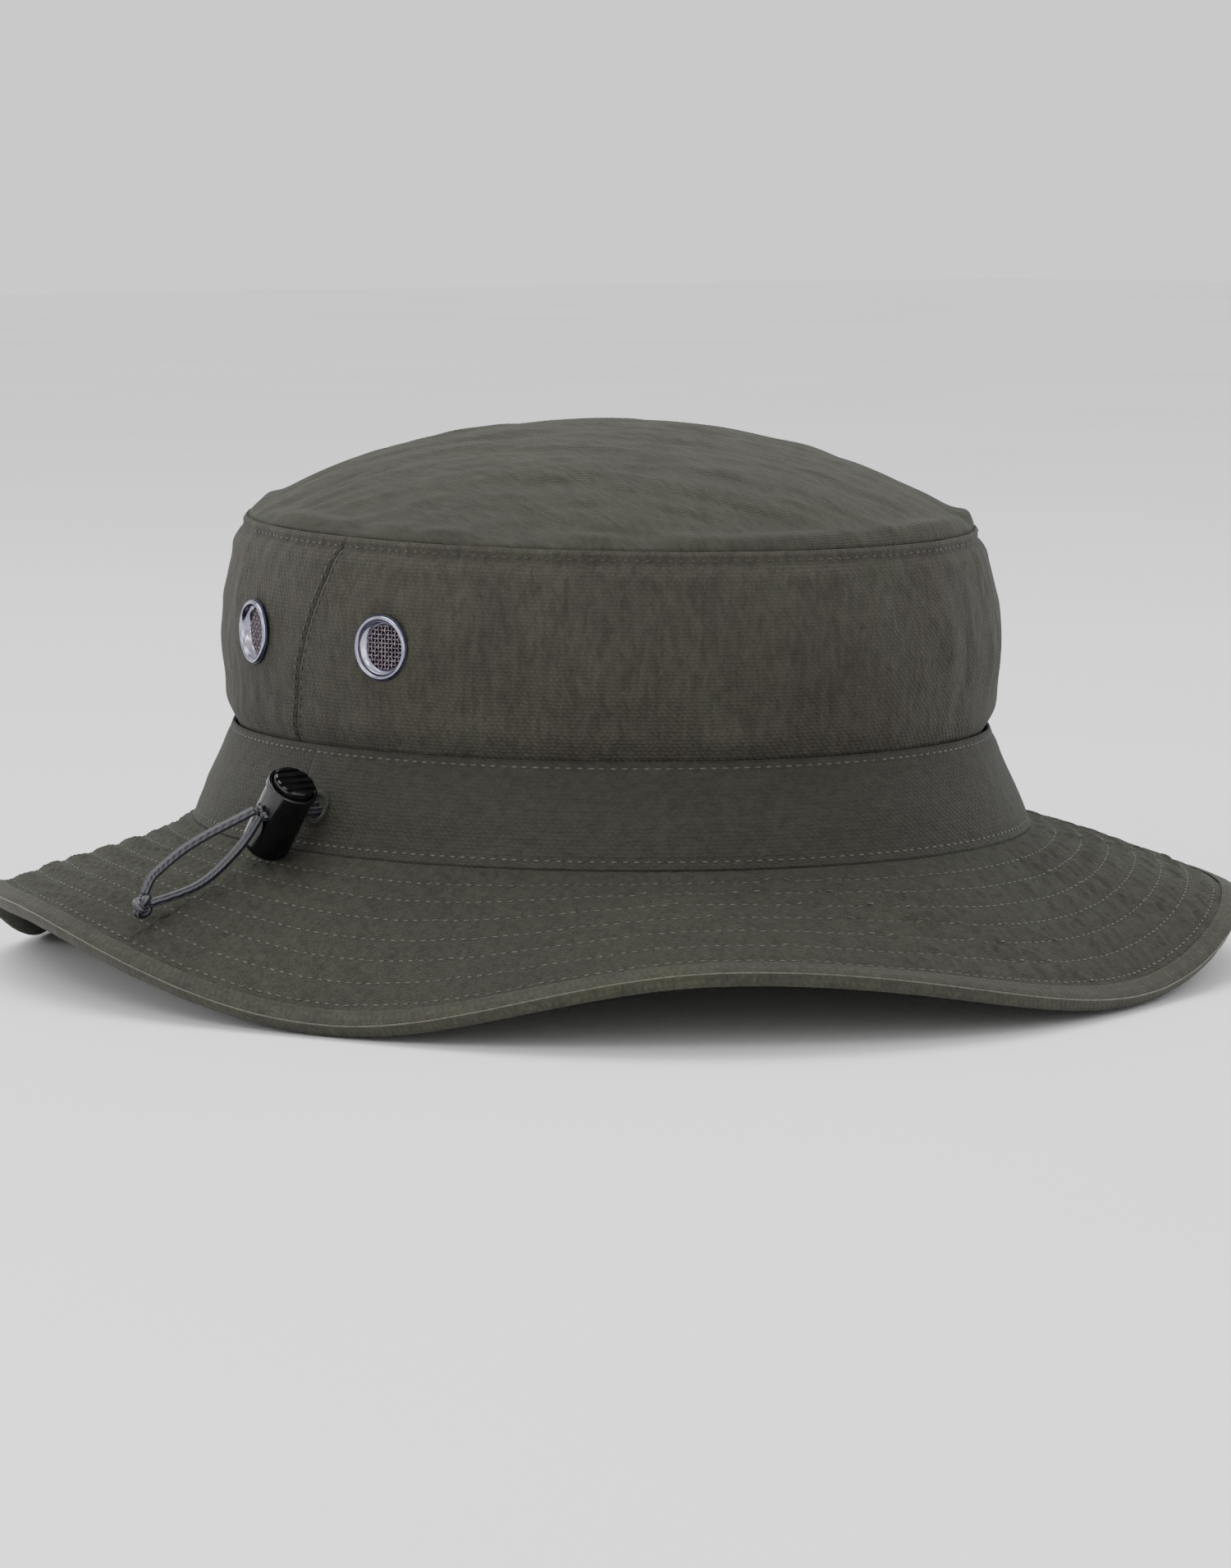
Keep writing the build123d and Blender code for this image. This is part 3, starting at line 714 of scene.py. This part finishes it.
def tube_mesh(name, points, radius, sides=16, rounded=(0, 0)):
    """A cord along a line of points in metres, with each end rounded over a length in mm."""
    line = np.array([list(p) for p in points])
    steps = np.linalg.norm(np.diff(line, axis=0), axis=1)
    run = np.concatenate([[0], np.cumsum(steps)])
    tangents = np.gradient(line, axis=0)
    tangents /= np.linalg.norm(tangents, axis=1)[:, None]
    side = Vector(tangents[0]).orthogonal().normalized()
    sides_on = []
    for tangent in tangents:
        t = Vector(tangent)
        side = (side - t * side.dot(t)).normalized()
        sides_on.append(list(side))
    sides_on = np.array(sides_on)
    others = np.cross(tangents, sides_on)
    size = np.full(len(line), radius * MM)
    for length, distance in zip(rounded, (run, run[-1] - run)):
        if length:
            part = np.clip(distance / (length * MM), 0.02, 1)
            size = size * np.sqrt(1 - (1 - part) ** 2)

    def place(s, t):
        i = np.rint(t * (len(line) - 1)).astype(int)
        a = 2 * pi * s
        offset = sides_on[i] * np.cos(a)[:, None] + others[i] * np.sin(a)[:, None]
        return (line[i] + offset * size[i][:, None]) / MM

    mesh = grid_mesh(name, sides, len(line) - 1, place, (2 * pi * radius, run[-1] / MM))
    bm = bmesh.new()
    bm.from_mesh(mesh)
    bmesh.ops.remove_doubles(bm, verts=bm.verts, dist=1e-6)
    bmesh.ops.holes_fill(bm, edges=[e for e in bm.edges if e.is_boundary], sides=sides)
    bmesh.ops.recalc_face_normals(bm, faces=bm.faces)
    bm.to_mesh(mesh)
    bm.free()
    return mesh, run[-1]


def route_line(name, points, resolution=16):
    """A smooth line through a route's control points, in metres."""
    curve = bpy.data.curves.new(name, "CURVE")
    curve.dimensions = "3D"
    curve.resolution_u = resolution
    spline = curve.splines.new("NURBS")
    spline.points.add(len(points) - 1)
    for point, place in zip(spline.points, points):
        point.co = (*place, 1)
    spline.order_u = 3
    spline.use_endpoint_u = True
    holder = bpy.data.objects.new(name, curve)
    scene.collection.objects.link(holder)
    bpy.context.view_layer.update()
    mesh = bpy.data.meshes.new_from_object(holder)
    line = [v.co.copy() for v in mesh.vertices]
    bpy.data.objects.remove(holder)
    return line


# --- cord: its neck, its free loop and its knot ---------------------------------------------
CORD_R = 1.05
UPPER = (-0.006204, 0.042972)
LOWER = (-0.007996, 0.041628)
NECK_UPPER = [(-0.0885, 0.0004, 0.0423), (-0.0881, *UPPER), (-0.0912, *UPPER), (-0.1065, *UPPER)]
NECK_LOWER = [(-0.0875, -0.0146, 0.0423), (-0.0881, *LOWER), (-0.0912, *LOWER), (-0.1065, *LOWER)]
LOOP_UPPER = [
    (-0.1074, *UPPER),
    (-0.1111, -0.0046, 0.0410),
    (-0.1169, -0.0022, 0.0381),
    (-0.1227, -0.0002, 0.0348),
    (-0.1275, 0.0010, 0.0311),
    (-0.1306, 0.0015, 0.0287),
    (-0.1321, 0.0013, 0.0252),
]
LOOP_LOWER = [
    (-0.1074, *LOWER),
    (-0.1093, -0.0064, 0.0371),
    (-0.1133, -0.0047, 0.0323),
    (-0.1179, -0.0033, 0.0281),
    (-0.1233, -0.0022, 0.0255),
    (-0.1317, 0.0004, 0.0234),
]
knot_centre = middle_of("cord_knot")
knot_along = Vector((-0.75, -0.6, -0.3)).normalized()
knot_over = Vector((-0.6, 0.75, 0)).normalized()
knot_up = knot_over.cross(knot_along)
knot_points = []
for step in range(15):
    t = 0.55 + (2 * pi - 0.9) * step / 14
    offset = (sin(t) + 2 * sin(2 * t), cos(t) - 2 * cos(2 * t), -sin(3 * t))
    local = knot_along * offset[0] * 1.1 + knot_up * offset[1] * 0.72 + knot_over * offset[2] * 0.95
    knot_points.append(knot_centre + local * MM)

knot_mesh, _ = tube_mesh("knot", route_line("knot_line", knot_points, 12), 1.0, 14, (0.8, 0.8))
knot = finish_piece(knot_mesh, "knot_of_elastic", "loop_end", elastic, ["cord_knot"])

for name, node, points in (
    ("loop_strand_upper", "cord_loop_upper", LOOP_UPPER),
    ("loop_strand_lower", "cord_loop_lower", LOOP_LOWER),
):
    line = route_line(name + "_line", points)
    mesh, length = tube_mesh(name, line, CORD_R, 16, (0.0, 1.0))
    strand = finish_piece(mesh, name, None, elastic, [node])
    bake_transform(strand)

for name, node, points in (
    ("neck_strand_upper", "cord_neck_upper", NECK_UPPER),
    ("neck_strand_lower", "cord_neck_lower", NECK_LOWER),
):
    mesh, _ = tube_mesh(name, route_line(name + "_line", points), CORD_R, 16)
    neck = finish_piece(mesh, name, None, elastic, [node])
    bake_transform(neck)

draw_low, draw_high = (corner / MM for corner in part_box("drawcord"))
draw_r = draw_high.x - CORD_R
draw_z = (draw_low.z + draw_high.z) / 2 - SEAM_Z
open_at = np.linspace(-90 + 9.5, 270 - 1.0, 240)
draw_line = on_oval(open_at, draw_r, np.full(len(open_at), draw_z)) * MM
mesh, _ = tube_mesh("drawcord_ring", draw_line, CORD_R, 10)
finish_piece(mesh, "drawcord_ring", "hat", elastic, ["drawcord"])

# --- eyelets ---------------------------------------------------------------------------------
# The rolled ring's section: radius and height
FLANGE = [
    (4.9, -1.6), (4.95, -1.15), (5.2, -0.75), (5.6, -0.4), (5.95, -0.2), (6.12, 0.1), (6.2, 0.5),
    (6.38, 0.85), (6.68, 1.0), (6.98, 0.85), (7.16, 0.5), (7.16, 0.2), (7.0, 0.0), (6.2, -0.1),
    (5.95, -0.4), (5.9, -2.2), (5.5, -2.2), (5.4, -1.6),
]
# The flange's outer lip, turned under, in dark blue: painted shade round the eyelet's edge
LIP = [(7.0, 0.0), (7.15, 0.35), (7.35, 0.3), (7.42, 0.0), (7.3, -0.25), (7.05, -0.25)]
EYELET_STANDS_OUT = 0.35
SPIN_STEPS = 64
GAUZE_PITCH = 0.95
GAUZE_WIRE_R = 0.2
GAUZE_WAVE = 0.19
GAUZE_R = 5.4
GAUZE_DEPTH = 1.35


def spun(name, section, to_place):
    """A ring turned from a closed section and set in its place."""
    corners = np.array([*section, section[0]])
    turned_by = np.array(to_place.to_3x3())

    def place(s, t):
        radius, height = corners[np.rint(t * len(section)).astype(int)].T
        points = np.stack([radius * np.cos(2 * pi * s), radius * np.sin(2 * pi * s), height], 1)
        return points @ turned_by.T + np.array(to_place.translation)

    mesh = grid_mesh(name, SPIN_STEPS, len(section), place, (1, 1))
    mesh.uv_layers.remove(mesh.uv_layers[0])
    weld(mesh, tidy_normals=True)
    return mesh


def gauze(name, to_place):
    """Woven wires over and under each other, across an eyelet's bore."""
    bm = bmesh.new()
    for turn_by in (0, pi / 2):
        for number in range(-6, 7):
            offset = number * GAUZE_PITCH
            if abs(offset) >= GAUZE_R - 0.1:
                continue
            half = sqrt(GAUZE_R**2 - offset**2)
            made = bmesh.ops.create_grid(bm, x_segments=6, y_segments=24, size=0.5)["verts"]
            for v in made:
                angle = 2 * pi * (v.co.x + 0.5)
                along = v.co.y * 2 * half
                phase = pi * along / GAUZE_PITCH + (pi if number % 2 else 0) + (pi if turn_by else 0)
                rise = GAUZE_WAVE * sin(phase + pi / 2)
                v.co = (offset + GAUZE_WIRE_R * cos(angle), along, rise + GAUZE_WIRE_R * sin(angle))
            bmesh.ops.rotate(bm, verts=made, cent=(0, 0, 0), matrix=Matrix.Rotation(turn_by, 3, "Z"))
    bmesh.ops.remove_doubles(bm, verts=bm.verts, dist=1e-4)
    bmesh.ops.holes_fill(bm, edges=[e for e in bm.edges if e.is_boundary], sides=6)
    bmesh.ops.recalc_face_normals(bm, faces=bm.faces)
    bmesh.ops.translate(bm, verts=bm.verts, vec=(0, 0, -GAUZE_DEPTH))
    bmesh.ops.transform(bm, matrix=Matrix.Scale(MM, 4) @ to_place, verts=bm.verts)
    return new_mesh(bm, name)


eyelet_centres = {}
for place, azimuth in (
    ("right_rear", -90 - EYELET_SPREAD),
    ("right_front", -90 + EYELET_SPREAD),
    ("left_front", 90 - EYELET_SPREAD),
    ("left_rear", 90 + EYELET_SPREAD),
):
    side = float(wall_radius(EYELET_H))
    spot = Vector(settle(on_oval(np.array([azimuth]), side, np.array([EYELET_H])))[0])
    out = Vector((spot.x, spot.y / LENGTH_RATIO**2, 0)).normalized()
    level = Vector((0, 0, 1)).cross(out)
    to_place = Matrix((level, (0, 0, 1), out)).transposed().to_4x4()
    to_place.translation = spot + out * EYELET_STANDS_OUT
    eyelet_centres[place] = spot * MM
    ring = spun("eyelet_" + place, FLANGE, to_place)
    finish_piece(ring, "eyelet_" + place, "hat", plated, ["eyelet_ring_" + place])
    # The lip is dark blue: painted shade round the eyelet's edge.
    lip = spun("eyelet_lip_" + place, LIP, to_place)
    finish_piece(lip, "eyelet_lip_" + place, "hat", shade_painted, [])
    wires = gauze("gauze_" + place, to_place)
    finish_piece(wires, "gauze_" + place, "hat", wire, ["eyelet_mesh_" + place])
    dress("eyelet_washer_" + place, plated)

# --- cloth -----------------------------------------------------------------------------------
HALVES = {"front": (-90, 90), "rear": (90, 270)}
HOLE_R = 6.4


def cloth_over(
    name,
    surface,
    azimuths,
    spans,
    columns,
    rows,
    material,
    nodes,
    cloth,
    flat,
    holes=(),
    lean=0,
):
    """A cloth panel laid over a surface between two azimuths and two spans, then thickened.

    With lean, its ends follow the side seams' slant: 1 for the front half, -1 for the rear half.
    """

    def place(s, t):
        height = spans[0] + t * (spans[1] - spans[0])
        shift = lean * seam_lean(height) * (1 - 2 * s)
        return surface(azimuths[0] + s * (azimuths[1] - azimuths[0]) + shift, height)

    mesh = grid_mesh(name, columns, rows, place, flat)
    if holes:
        cut_holes(mesh, holes, HOLE_R * MM)
    piece = finish_piece(mesh, name, "hat", material, nodes)
    thicken(piece, cloth)
    return piece


for half, azimuths in HALVES.items():
    holes = [eyelet_centres[place] for place in ("right_" + half, "left_" + half)]
    cloth_over(
        "wall_" + half, wall, azimuths, (FOOT_H + 0.2, TOP_H), 330, 58, wall_nylon,
        ["side_panel_" + half], 0.7, (293, 52), holes=holes, lean=1 if half == "front" else -1,
    )
    cloth_over(
        "band_wrap_" + half, band, azimuths, (0, WAIST_H), 300, 26, band_nylon,
        ["band_" + half], 0.8, (293, 23),
    )
    cloth_over(
        "brim_shell_" + half, brim_over, azimuths, (1.0, -0.04), 470, 64, brim_nylon,
        ["brim_top_" + half, "brim_interlining_" + half], 1.2, (300, 155),
    )
    cloth_over(
        "brim_lining_" + half, brim_beneath, azimuths, (-0.04, 1.0), 300, 40, lining_nylon,
        ["brim_under_" + half], 0.5, (300, 155),
    )

crown_mesh = grid_mesh("crown", 190, 190, lambda s, t: dome(2 * s - 1, 2 * t - 1), (168, 183))
crown = finish_piece(crown_mesh, "crown_cloth", "hat", crown_nylon, ["crown_top"])
thicken(crown, 0.7)


def inner_wall(inset):
    """The wall's inner face, set in by a distance."""
    return lambda azimuth, height: settle(on_oval(azimuth, wall_radius(height) - inset, height))


def sweat_face(azimuth, height):
    """The sweatband's outer face, from the brim seam up behind the wall."""
    knee = float(wall_radius(FOOT_H)) - 1.4
    radius = np.interp(height, [0.1, FOOT_H, 31], [R_SEAM - 3.3, knee, knee])
    points = on_oval(azimuth, radius, height)
    return points + outwards(azimuth) * (0.25 * ripples(points, (14, 14, 14), 41) - 0.25)[:, None]


def closed_ring(name, surface, spans, columns, rows, material, nodes, cloth, flat):
    """A cloth ring all the way round, joined where it meets."""

    def place(s, t):
        return surface(-180 + 360 * s, spans[0] + t * (spans[1] - spans[0]))

    mesh = grid_mesh(name, columns, rows, place, flat)
    weld(mesh)
    piece = finish_piece(mesh, name, "hat", material, nodes)
    thicken(piece, cloth)
    return piece


closed_ring(
    "sweatband_cloth", sweat_face, (0.1, 31), 320, 22, cotton,
    ["sweatband"], 1.1, (570, 31),
)
closed_ring(
    "top_seam_tape", inner_wall(0.95), (TOP_H - 10, TOP_H - 0.2), 240, 8, tape_nylon,
    ["crown_seam_tape"], 0.4, (545, 10),
)
for side, azimuth in (("left", 90), ("right", -90)):
    cloth_over(
        "side_tape_" + side, inner_wall(0.95), (azimuth - 3.2, azimuth + 3.2), (WAIST_H + 9, TOP_H - 11),
        10, 24, tape_nylon, ["side_seam_tape_" + side], 0.4, (10, 27),
    )


# --- binding -----------------------------------------------------------------------------------
# The folded tape's section: outwards from the brim's edge, and up from its top face
BINDING_SECTION = np.array(
    [
        (-4.2, 0.25), (-3.0, 0.62), (-1.2, 0.68), (0.0, 0.66), (0.5, 0.45), (0.66, 0.0), (0.7, -1.2),
        (0.66, -2.4), (0.5, -2.85), (0.0, -3.06), (-1.2, -3.08), (-3.0, -3.02), (-4.2, -2.65), (-4.2, -2.3),
        (-1.0, -2.45), (0.2, -2.3), (0.25, -1.2), (0.2, 0.0), (-1.0, 0.1), (-4.2, 0.0),
    ]
)


def binding_face(azimuth, share):
    """The folded tape round the brim's edge, at a share of the way round its section."""
    azimuth, share = np.broadcast_arrays(np.asarray(azimuth, float), np.asarray(share, float))
    corners = np.vstack([BINDING_SECTION, BINDING_SECTION[:1]])
    at = share * len(BINDING_SECTION)
    out = np.interp(at, np.arange(len(corners)), corners[:, 0])
    up = np.interp(at, np.arange(len(corners)), corners[:, 1])
    drop = edge_drop(azimuth)
    slope = np.arctan((-drop - 4 * BRIM_ARCH) / np.sqrt(BRIM_WIDTH**2 - drop**2))
    edge, _ = brim_face(azimuth, np.ones(len(azimuth)), 0)
    level = out * np.cos(slope) - up * np.sin(slope)
    edge[:, 2] += out * np.sin(slope) + up * np.cos(slope)
    wobble = 0.12 * ripples(edge, (4, 4, 4), 51) * (share < 0.65)
    return edge + outwards(azimuth) * (level + wobble)[:, None]


def binding_place(s, t):
    """The binding over a square of parameters 0 to 1."""
    return binding_face(-180 + 360 * s, 1 - t)


binding_mesh = grid_mesh("binding", 900, len(BINDING_SECTION), binding_place, (920, 12))
weld(binding_mesh, tidy_normals=True)
finish_piece(binding_mesh, "brim_binding_tape", "hat", tape_nylon, ["brim_binding"])
edge_line = binding_face(np.linspace(-180, 180, 721), np.full(721, 4.1 / len(BINDING_SECTION))) * MM
mesh, _ = tube_mesh("binding_edge_thread", edge_line, 0.16, 6)
finish_piece(mesh, "binding_edge_thread", "hat", tan_thread, [])

# --- stitching -----------------------------------------------------------------------------------
dice = np.random.default_rng(7)


def sew(bm, surface, p, q, pitch=2.45, length=1.8, width=0.5, height=0.34, lean=0.0):
    """Lay stitches end to end along a path over a surface."""
    dense, _ = frames(surface, p, q)
    run = np.concatenate([[0], np.cumsum(np.linalg.norm(np.diff(dense, axis=0), axis=1))])
    at = np.arange(pitch / 2, run[-1], pitch)
    at = at + dice.uniform(-0.12, 0.12, len(at))
    share = np.interp(at, run, np.arange(len(run)))
    pq = [np.interp(share, np.arange(len(run)), values) for values in (p, q)]
    centres, normals = frames(surface, *pq)
    ahead = np.stack([np.interp(at + 0.4, run, dense[:, k]) for k in range(3)], 1)
    behind = np.stack([np.interp(at - 0.4, run, dense[:, k]) for k in range(3)], 1)
    along = ahead - behind
    level_faces = {brim_over: Vector((0, 0, 1)), brim_beneath: Vector((0, 0, -1))}
    for centre, normal, direction in zip(centres, normals, along):
        n, d = Vector(normal), Vector(direction).normalized()
        if n.dot(level_faces.get(surface, Vector((centre[0], centre[1], 0)))) < 0:
            n = -n
        d = (d - n * d.dot(n)).normalized()
        d = (d + n.cross(d) * (lean + dice.uniform(-0.06, 0.06))).normalized()
        b = n.cross(d)
        size = dice.uniform(0.9, 1.08)
        basis = Matrix((d * length / 2 * size, b * width / 2, n * height / 2)).transposed().to_4x4()
        basis.translation = Vector(centre) + n * height * 0.22
        bmesh.ops.create_icosphere(bm, subdivisions=1, radius=MM, matrix=scaled(basis))


def scaled(basis):
    """A placing in millimetres, for a shape that is already in metres."""
    moved = basis.copy()
    moved.translation = basis.translation * MM
    return moved


def thread_piece(name, rows, material):
    """One piece of thread: every stitch of the rows given."""
    whole = bmesh.new()
    mesh = bpy.data.meshes.new(name)
    for surface, p, q, choices in rows:
        for part in range(4):
            span = slice(part * (len(p) - 1) // 4, (part + 1) * (len(p) - 1) // 4 + 1)
            bm = bmesh.new()
            sew(bm, surface, p[span], q[span], **choices)
            bm.to_mesh(mesh)
            bm.free()
            whole.from_mesh(mesh)
    whole.to_mesh(mesh)
    whole.free()
    return finish_piece(mesh, name, "hat", material, [])


around = np.linspace(-180, 180, 1441)
ones = np.ones(len(around))
for side, surface in (("over", brim_over), ("beneath", brim_beneath)):
    thread_piece(
        "brim_rows_" + side,
        [(surface, around, ones * row, {"length": 1.75}) for row in ROWS_ALONG],
        pale_thread,
    )
    thread_piece(
        "brim_edge_row_" + side,
        [(surface, around, ones * EDGE_ROW, {"pitch": 2.0, "length": 1.3})],
        dark_thread,
    )
thread_piece(
    "band_rows",
    [
        (band, around, ones * (WAIST_H - 1.6), {"length": 1.7}),
        (band, around, ones * 1.8, {"length": 1.7}),
    ],
    pale_thread,
)
thread_piece(
    "top_seam_row",
    [(wall, around, ones * (TOP_H - 2.1), {"length": 1.9, "width": 0.62, "height": 0.45})],
    dark_thread,
)
seam_heights = np.linspace(WAIST_H + 1, TOP_H - 1, 60)
seam_rows = []
SEAM_STITCH = {"pitch": 2.2, "length": 1.5, "width": 0.6, "height": 0.45, "lean": 0.3}
for side in (-1, 1):
    for shift in (-0.75, 0.75):
        azimuths = side * (90 - seam_lean(seam_heights)) + shift
        seam_rows.append((wall, azimuths, seam_heights, SEAM_STITCH))
thread_piece("side_seam_rows", seam_rows, dark_thread)

# --- buttonhole: satin stitches round the hole that the cord leaves by ---------------------------
SATIN_STITCHES = 44
SATIN_R = 3.35
hole_centre = middle_of("cord_buttonhole")
hole_out = Vector((-0.92, -0.06, 0.38)).normalized()
hole_side = Vector((0, 0, 1)).cross(hole_out).normalized()
hole_up = hole_out.cross(hole_side)
bm = bmesh.new()
for number in range(SATIN_STITCHES):
    angle = 2 * pi * number / SATIN_STITCHES
    out_from = hole_side * cos(angle) + hole_up * sin(angle)
    tangent = hole_out.cross(out_from)
    basis = Matrix((out_from * 0.75, tangent * 0.26, hole_out * 0.32)).transposed().to_4x4()
    basis.translation = hole_centre + out_from * SATIN_R * MM
    bmesh.ops.create_icosphere(bm, subdivisions=1, radius=MM, matrix=basis)
mesh = new_mesh(bm, "buttonhole_stitches")
finish_piece(mesh, "buttonhole_stitches", "hat", dark_thread, ["cord_buttonhole"])

# --- lock ---------------------------------------------------------------------------------------
COIL_R = 3.6
COIL_WIRE_R = 0.3
COIL_TURNS = 4
COIL_REACH = 2.5  # from the coil's middle to its ends
LOCK_UP = Vector((0, -0.6, 0.8))
coil_middle = middle_of("lock_spring")
coil_out = Vector((1, 0, 0))
coil_level = LOCK_UP.cross(coil_out)
coil_line = []
for share in np.linspace(0, 1, 24 * COIL_TURNS + 1):
    turn = 2 * pi * COIL_TURNS * share
    round_axis = coil_out * cos(turn) * COIL_R + coil_level * sin(turn) * COIL_R
    spot = round_axis + LOCK_UP * COIL_REACH * (2 * share - 1)
    coil_line.append(coil_middle + spot * MM)
mesh, _ = tube_mesh("lock_coil", coil_line, COIL_WIRE_R, 10)
coil = finish_piece(mesh, "lock_coil", None, spring_steel, ["lock_spring"])
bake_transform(coil)

dress("lock_barrel", acetal)
dress("lock_button", acetal)

# --- studio -------------------------------------------------------------------------------------
bm = bmesh.new()
bmesh.ops.create_grid(bm, x_segments=1, y_segments=1, size=6)
floor = bpy.data.objects.new("studio_floor", new_mesh(bm, "studio_floor"))
scene.collection.objects.link(floor)
# White studio vinyl: matt, so that only soft shade shows on it.
floor_vinyl, floor_tree, floor_shader = new_material(
    "white studio vinyl, matt", Roughness=0.9, Specular_IOR_Level=0.1
)
floor_place = add(floor_tree, "ShaderNodeTexCoord")
floor_grain = add(
    floor_tree, "ShaderNodeTexNoise", {"Vector": floor_place.outputs["Object"], "Scale": 3.0}
)
floor_tone = tone(floor_tree, "#f4f4f6", "#f8f8f8", floor_grain.outputs["Fac"])
floor_tree.links.new(floor_tone, floor_shader.inputs["Base Color"])
floor.data.materials.append(floor_vinyl)

world = bpy.data.worlds.new("studio")
world.use_nodes = True
world.node_tree.nodes["Background"].inputs["Color"].default_value = (1, 1, 1, 1)
world.node_tree.nodes["Background"].inputs["Strength"].default_value = 1.15
scene.world = world


def softbox(name, place, watts, size):
    """A square soft light that faces the hat."""
    light = bpy.data.lights.new(name, "AREA")
    light.energy = watts
    light.size = size
    lamp = bpy.data.objects.new(name, light)
    lamp.location = place
    lamp.rotation_euler = (Vector((0, 0, 0.06)) - Vector(place)).to_track_quat("-Z", "Y").to_euler()
    scene.collection.objects.link(lamp)


softbox("top_softbox", (-0.1, 0.25, 1.6), 17, 1.2)
softbox("key_softbox", (-1.3, -0.7, 1.1), 5, 0.5)
softbox("front_softbox", (-0.9, -1.3, 0.45), 6, 0.8)
softbox("strip_softbox", (-1.0, 0.1, 0.35), 1.2, 0.16)
